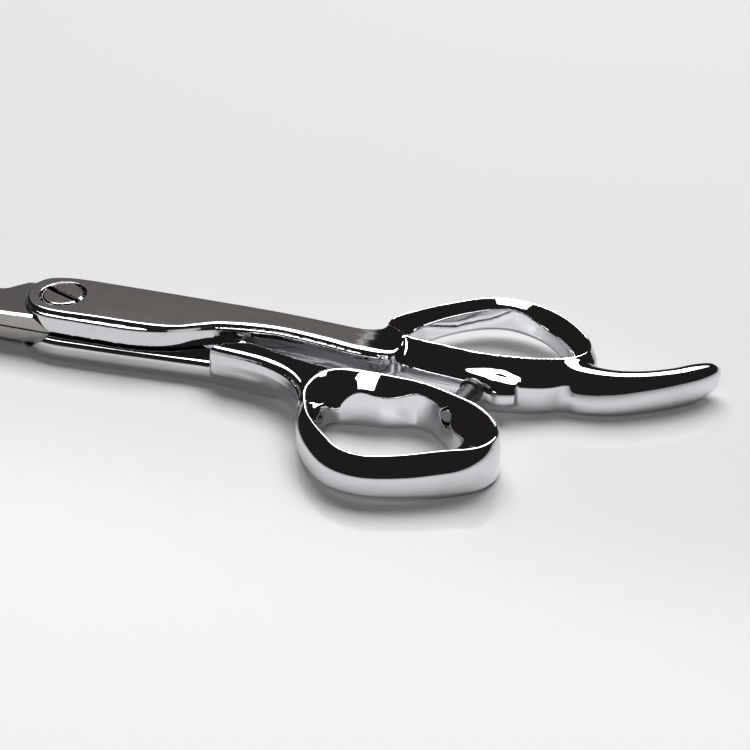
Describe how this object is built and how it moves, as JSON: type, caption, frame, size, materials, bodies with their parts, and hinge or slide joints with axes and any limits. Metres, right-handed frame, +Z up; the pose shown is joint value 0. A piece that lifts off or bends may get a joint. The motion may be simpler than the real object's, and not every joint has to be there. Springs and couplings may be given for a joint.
{
  "type": "hair cutting shears",
  "caption": "Classic straight hair cutting shears with slim tapering blades, slotted tension screw, bent shank, oval finger rings, rubber bumper and fixed curved finger rest.",
  "frame": {"origin": "on the axis of the pivot screw, at the flat underside of the lower half, which is the surface the closed shears lie on", "axes": "+X from the screw towards the rings, blades towards -X; +Y towards the finger ring; +Z up through the thickness, the slotted screw head facing +Z"},
  "size_m": [0.195, 0.0534, 0.0076],
  "materials": {
    "chrome": "bright chrome plate, with the flat top faces brushed grey",
    "satin_steel": "satin ground blade steel",
    "screw_steel": "fine turned steel with a polished bevel",
    "spring_steel": "plain spring steel",
    "nylon": "natural nylon",
    "insert_brass": "plain turned brass",
    "black_rubber": "smooth black rubber"
  },
  "bodies": {
    "thumb_half": {"thumb_handle": "chrome", "thumb_blade": "satin_steel", "threaded_insert": "insert_brass", "pivot_washer": "nylon", "bumper_cap": "black_rubber", "bumper_stud": "screw_steel"},
    "finger_half": {"finger_handle": "chrome", "finger_blade": "satin_steel", "spring_washer": "spring_steel"},
    "tension_screw": {"pivot_screw": "screw_steel"}
  },
  "joints": [
    {"name": "pivot", "type": "hinge", "parent": "thumb_half", "child": "finger_half", "pos_m": [0, 0, 0.0038], "axis": [0, 0, 1], "range_deg": [0, 130]},
    {"name": "screw_turn", "type": "hinge", "parent": "thumb_half", "child": "tension_screw", "pos_m": [0, 0, 0.0038], "axis": [0, 0, 1], "range_deg": [-90, 90]}
  ]
}
